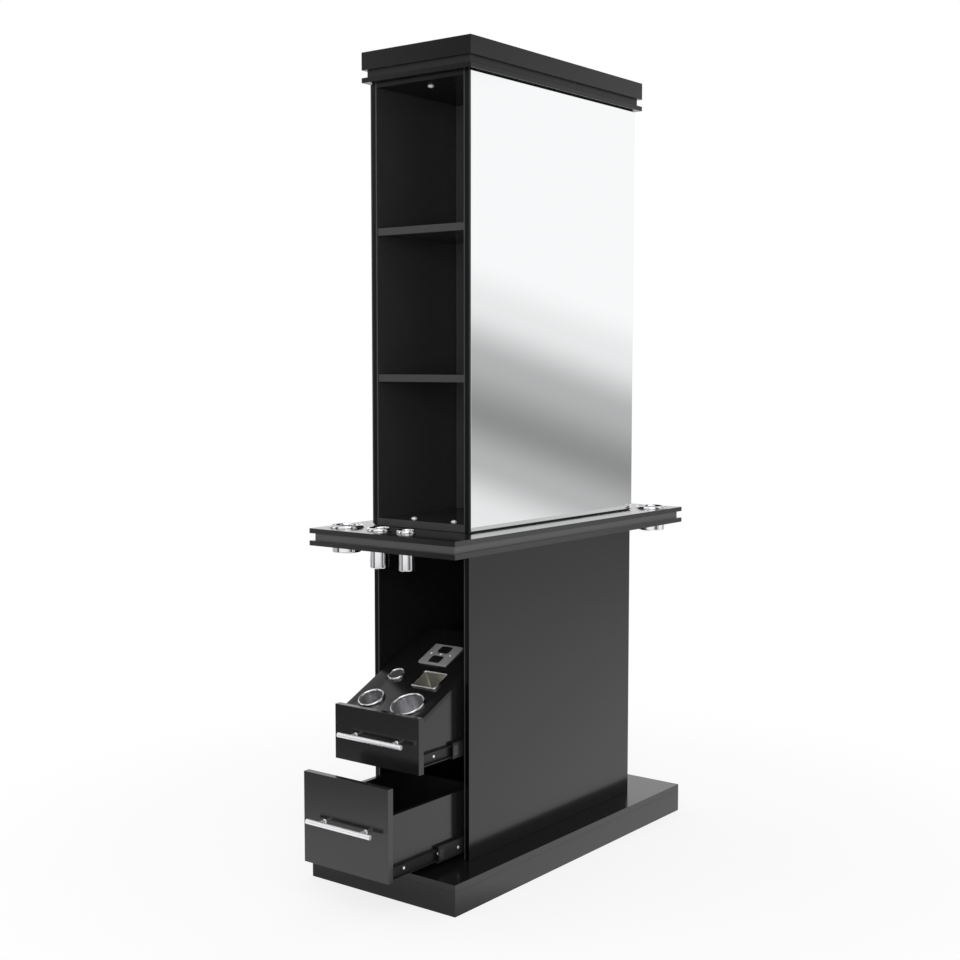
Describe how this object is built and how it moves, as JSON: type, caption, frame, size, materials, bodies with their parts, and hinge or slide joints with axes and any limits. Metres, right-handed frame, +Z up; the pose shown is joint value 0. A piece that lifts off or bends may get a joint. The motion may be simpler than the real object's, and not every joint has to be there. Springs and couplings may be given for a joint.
{
  "type": "double sided salon station",
  "caption": "Free-standing double sided salon station: shelf tower with a mirror on each long side, grooved worktop with tool holders, and sliding drawers with a sloped tool panel.",
  "frame": {"origin": "on the floor, at the middle of the plinth's underside", "axes": "+Z up, +X square to the right mirror, -Y out of the front end, whose drawers stand open"},
  "size_m": [0.452, 1.175, 2.016],
  "materials": {
    "black_laminate": "black laminate on board, satin gloss",
    "mirror_glass": "silvered glass",
    "chrome_cup": "polished",
    "steel_bar": "satin bar",
    "slide_steel": "black plated steel",
    "outlet_steel": "brushed grey",
    "outlet_black": "black moulding"
  },
  "bodies": {
    "carcass": {"plinth": "black_laminate", "base_deck": "black_laminate", "lower_panel_right": "black_laminate", "lower_panel_left": "black_laminate", "lower_divider": "black_laminate", "worktop": "black_laminate", "upper_bottom_board": "black_laminate", "upper_panel_right": "black_laminate", "upper_panel_left": "black_laminate", "upper_divider": "black_laminate", "upper_top_board": "black_laminate", "front_shelf_1": "black_laminate", "front_shelf_2": "black_laminate", "back_shelf_1": "black_laminate", "back_shelf_2": "black_laminate", "crown": "black_laminate", "mirror_right": "mirror_glass", "mirror_left": "mirror_glass", "front_dryer_holder": "chrome_cup", "front_iron_holder": "chrome_cup", "front_brush_holder": "chrome_cup", "back_dryer_holder": "chrome_cup", "back_iron_holder": "chrome_cup", "back_brush_holder": "chrome_cup"},
    "front_deep_drawer": {"front_deep_drawer_fascia": "black_laminate", "front_deep_drawer_handle": "steel_bar", "front_deep_drawer_box": "black_laminate", "front_deep_drawer_floor": "black_laminate"},
    "front_deep_rails": {"front_deep_drawer_slide_right": "slide_steel", "front_deep_drawer_slide_left": "slide_steel"},
    "front_tool_drawer": {"front_tool_drawer_fascia": "black_laminate", "front_tool_drawer_handle": "steel_bar", "front_tool_drawer_box": "black_laminate", "front_tool_panel": "black_laminate", "front_dryer_cup": "chrome_cup", "front_iron_cup": "chrome_cup", "front_small_cup": "chrome_cup", "front_clip_bin": "chrome_cup", "front_outlet_plate": "outlet_steel", "front_outlet_receptacle": "outlet_black"},
    "front_tool_rails": {"front_tool_drawer_slide_right": "slide_steel", "front_tool_drawer_slide_left": "slide_steel"},
    "back_deep_drawer": {"back_deep_drawer_fascia": "black_laminate", "back_deep_drawer_handle": "steel_bar", "back_deep_drawer_box": "black_laminate", "back_deep_drawer_floor": "black_laminate"},
    "back_deep_rails": {"back_deep_drawer_slide_right": "slide_steel", "back_deep_drawer_slide_left": "slide_steel"},
    "back_tool_drawer": {"back_tool_drawer_fascia": "black_laminate", "back_tool_drawer_handle": "steel_bar", "back_tool_drawer_box": "black_laminate", "back_tool_panel": "black_laminate", "back_dryer_cup": "chrome_cup", "back_iron_cup": "chrome_cup", "back_small_cup": "chrome_cup", "back_clip_bin": "chrome_cup", "back_outlet_plate": "outlet_steel", "back_outlet_receptacle": "outlet_black"},
    "back_tool_rails": {"back_tool_drawer_slide_right": "slide_steel", "back_tool_drawer_slide_left": "slide_steel"}
  },
  "joints": [
    {"name": "front_deep_drawer_travel", "type": "slide", "parent": "carcass", "child": "front_deep_drawer", "axis": [0, -1, 0], "range_m": [-0.274, 0.026]},
    {"name": "front_deep_rails_travel", "type": "slide", "parent": "carcass", "child": "front_deep_rails", "axis": [0, -1, 0], "range_m": [-0.137, 0.013]},
    {"name": "front_tool_drawer_travel", "type": "slide", "parent": "carcass", "child": "front_tool_drawer", "axis": [0, -1, 0], "range_m": [-0.165, 0.135]},
    {"name": "front_tool_rails_travel", "type": "slide", "parent": "carcass", "child": "front_tool_rails", "axis": [0, -1, 0], "range_m": [-0.0825, 0.0675]},
    {"name": "back_deep_drawer_travel", "type": "slide", "parent": "carcass", "child": "back_deep_drawer", "axis": [0, 1, 0], "range_m": [0, 0.3]},
    {"name": "back_deep_rails_travel", "type": "slide", "parent": "carcass", "child": "back_deep_rails", "axis": [0, 1, 0], "range_m": [0, 0.15]},
    {"name": "back_tool_drawer_travel", "type": "slide", "parent": "carcass", "child": "back_tool_drawer", "axis": [0, 1, 0], "range_m": [0, 0.3]},
    {"name": "back_tool_rails_travel", "type": "slide", "parent": "carcass", "child": "back_tool_rails", "axis": [0, 1, 0], "range_m": [0, 0.15]}
  ],
  "couplings": [
    {"joint": "front_deep_rails_travel", "follows": "front_deep_drawer_travel", "ratio": 0.5},
    {"joint": "front_tool_rails_travel", "follows": "front_tool_drawer_travel", "ratio": 0.5},
    {"joint": "back_deep_rails_travel", "follows": "back_deep_drawer_travel", "ratio": 0.5},
    {"joint": "back_tool_rails_travel", "follows": "back_tool_drawer_travel", "ratio": 0.5}
  ]
}
